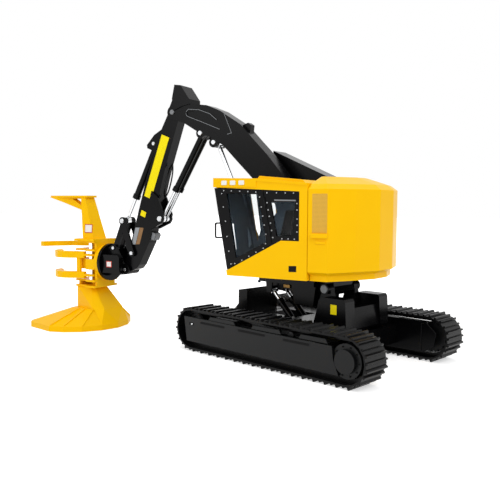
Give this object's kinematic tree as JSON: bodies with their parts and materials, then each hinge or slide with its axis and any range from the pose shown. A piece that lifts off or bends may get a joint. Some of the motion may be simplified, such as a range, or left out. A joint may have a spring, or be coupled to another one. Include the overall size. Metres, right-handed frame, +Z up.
{
  "type": "tracked feller buncher scale model",
  "caption": "Scale model of a levelling tracked feller buncher: turning house, bent boom, stick and an upright disc-saw felling head with gathering arms.",
  "frame": {"origin": "on the slew axis, at the ground", "axes": "+X the way the house and boom point, +Y to the operator's left, +Z up"},
  "size_m": [0.3231, 0.1384, 0.1778],
  "materials": {
    "yellow_lacquer": "gloss",
    "black_lacquer": "gloss",
    "track_metal": "satin",
    "chrome": "polished",
    "saw_steel": "satin",
    "window_glass": "gloss",
    "seat_plastic": "matte",
    "lamp_lens": "gloss"
  },
  "bodies": {
    "undercarriage": {"track_left": "track_metal", "track_right": "track_metal", "track_frame_left": "black_lacquer", "track_frame_right": "black_lacquer", "final_drive_left": "black_lacquer", "final_drive_right": "black_lacquer", "idler_left": "black_lacquer", "idler_right": "black_lacquer", "carbody": "black_lacquer"},
    "carrier": {"leveller": "black_lacquer"},
    "level_barrels": {"level_barrels": "black_lacquer"},
    "level_rods": {"level_rods": "chrome"},
    "house": {"deck": "black_lacquer", "engine_hood": "yellow_lacquer", "cab": "yellow_lacquer", "window_frame": "black_lacquer", "cab_glass": "window_glass", "seat": "seat_plastic", "work_lamps": "lamp_lens", "side_tank": "yellow_lacquer", "sloping_cover": "black_lacquer"},
    "door": {"cab_door": "black_lacquer", "door_glass": "window_glass"},
    "boom": {"boom": "black_lacquer"},
    "lift_barrel": {"lift_barrel": "black_lacquer"},
    "lift_rod": {"lift_rod": "chrome"},
    "stick": {"stick": "black_lacquer"},
    "stick_barrels": {"stick_barrels": "black_lacquer"},
    "stick_rods": {"stick_rods": "chrome"},
    "wrist": {"wrist": "black_lacquer"},
    "idler_links": {"idler_links": "black_lacquer"},
    "head_links": {"head_links": "black_lacquer"},
    "head_barrel": {"head_barrel": "black_lacquer"},
    "head_rod": {"head_rod": "chrome"},
    "head": {"head_frame": "yellow_lacquer", "arm_pins": "chrome", "saw_housing": "yellow_lacquer"},
    "saw": {"saw_disc": "saw_steel"},
    "gather_arm": {"gather_arm": "yellow_lacquer"},
    "hold_arm": {"hold_arm": "yellow_lacquer"}
  },
  "joints": [
    {"name": "levelling", "type": "hinge", "parent": "undercarriage", "child": "carrier", "pos_m": [-0.01937, 0.00497, 0.045], "axis": [-0.2487, -0.9686, 0], "range_deg": [-7, 10]},
    {"name": "level_barrels_turn", "type": "hinge", "parent": "undercarriage", "child": "level_barrels", "pos_m": [0.01162, -0.00298, 0.02], "axis": [-0.2487, -0.9686, 0], "range_deg": [-8.5, 12]},
    {"name": "level_rods_slide", "type": "slide", "parent": "level_barrels", "child": "level_rods", "axis": [0.6759, -0.1736, 0.7162], "range_m": [-0.0052, 0.0074]},
    {"name": "slew", "type": "hinge", "parent": "carrier", "child": "house", "pos_m": [0, 0, 0.0525], "axis": [0, 0, 1], "continuous": true},
    {"name": "cab_door_hinge", "type": "hinge", "parent": "house", "child": "door", "pos_m": [0.0098, 0.046, 0.0878], "axis": [0.1961, 0, 0.9806], "range_deg": [0, 70]},
    {"name": "boom_lift", "type": "hinge", "parent": "house", "child": "boom", "pos_m": [-0.002, 0, 0.08], "axis": [0, 1, 0], "range_deg": [-22, 28]},
    {"name": "lift_barrel_turn", "type": "hinge", "parent": "house", "child": "lift_barrel", "pos_m": [0.04, 0, 0.062], "axis": [0, 1, 0], "range_deg": [-23.5, 30]},
    {"name": "lift_rod_slide", "type": "slide", "parent": "lift_barrel", "child": "lift_rod", "axis": [0.408, 0, 0.913], "range_m": [-0.0225, 0.018]},
    {"name": "stick_swing", "type": "hinge", "parent": "boom", "child": "stick", "pos_m": [0.10774, 0, 0.15915], "axis": [0, -1, 0], "range_deg": [-20, 35]},
    {"name": "stick_barrels_turn", "type": "hinge", "parent": "boom", "child": "stick_barrels", "pos_m": [0.08408, 0, 0.14356], "axis": [0, -1, 0], "range_deg": [-20, 34.5]},
    {"name": "stick_rods_slide", "type": "slide", "parent": "stick_barrels", "child": "stick_rods", "axis": [0.5182, 0, -0.8552], "range_m": [-0.0102, 0.0172]},
    {"name": "head_tilt", "type": "hinge", "parent": "stick", "child": "wrist", "pos_m": [0.15176, 0, 0.04622], "axis": [0, -1, 0], "range_deg": [-40, 20]},
    {"name": "idler_links_turn", "type": "hinge", "parent": "stick", "child": "idler_links", "pos_m": [0.14572, 0, 0.05868], "axis": [0, -1, 0], "range_deg": [-38, 19.5]},
    {"name": "head_links_turn", "type": "hinge", "parent": "idler_links", "child": "head_links", "pos_m": [0.15446, 0, 0.08226], "axis": [0, -1, 0], "range_deg": [-13, 25]},
    {"name": "head_barrel_turn", "type": "hinge", "parent": "stick", "child": "head_barrel", "pos_m": [0.12575, 0, 0.13826], "axis": [0, -1, 0], "range_deg": [-4.5, 8]},
    {"name": "head_rod_slide", "type": "slide", "parent": "head_barrel", "child": "head_rod", "axis": [0.4561, 0, -0.8899], "range_m": [-0.007, 0.0135]},
    {"name": "wrist_turn", "type": "hinge", "parent": "wrist", "child": "head", "pos_m": [0.17006, 0, 0.05052], "axis": [1, 0, 0], "range_deg": [-90, 90]},
    {"name": "saw_spin", "type": "hinge", "parent": "head", "child": "saw", "pos_m": [0.196, 0, 0.002], "axis": [0, 0, 1], "continuous": true},
    {"name": "gather_arm_swing", "type": "hinge", "parent": "head", "child": "gather_arm", "pos_m": [0.18196, 0.01, 0.048], "axis": [0, 0, 1], "range_deg": [0, 70]},
    {"name": "hold_arm_swing", "type": "hinge", "parent": "head", "child": "hold_arm", "pos_m": [0.18196, -0.01, 0.0627], "axis": [0, 0, -1], "range_deg": [0, 70]}
  ],
  "couplings": [
    {"joint": "level_barrels_turn", "follows": "levelling", "ratio": 1.13},
    {"joint": "level_rods_slide", "follows": "levelling", "m_per_rad": 0.040107},
    {"joint": "lift_barrel_turn", "follows": "boom_lift", "ratio": 1.04},
    {"joint": "lift_rod_slide", "follows": "boom_lift", "m_per_rad": -0.044118},
    {"joint": "stick_barrels_turn", "follows": "stick_swing", "ratio": 0.966},
    {"joint": "stick_rods_slide", "follows": "stick_swing", "m_per_rad": 0.027215},
    {"joint": "idler_links_turn", "follows": "head_tilt", "ratio": 0.93},
    {"joint": "head_links_turn", "follows": "head_tilt", "ratio": -0.595},
    {"joint": "head_barrel_turn", "follows": "head_tilt", "ratio": -0.18},
    {"joint": "head_rod_slide", "follows": "head_tilt", "m_per_rad": -0.018335}
  ]
}
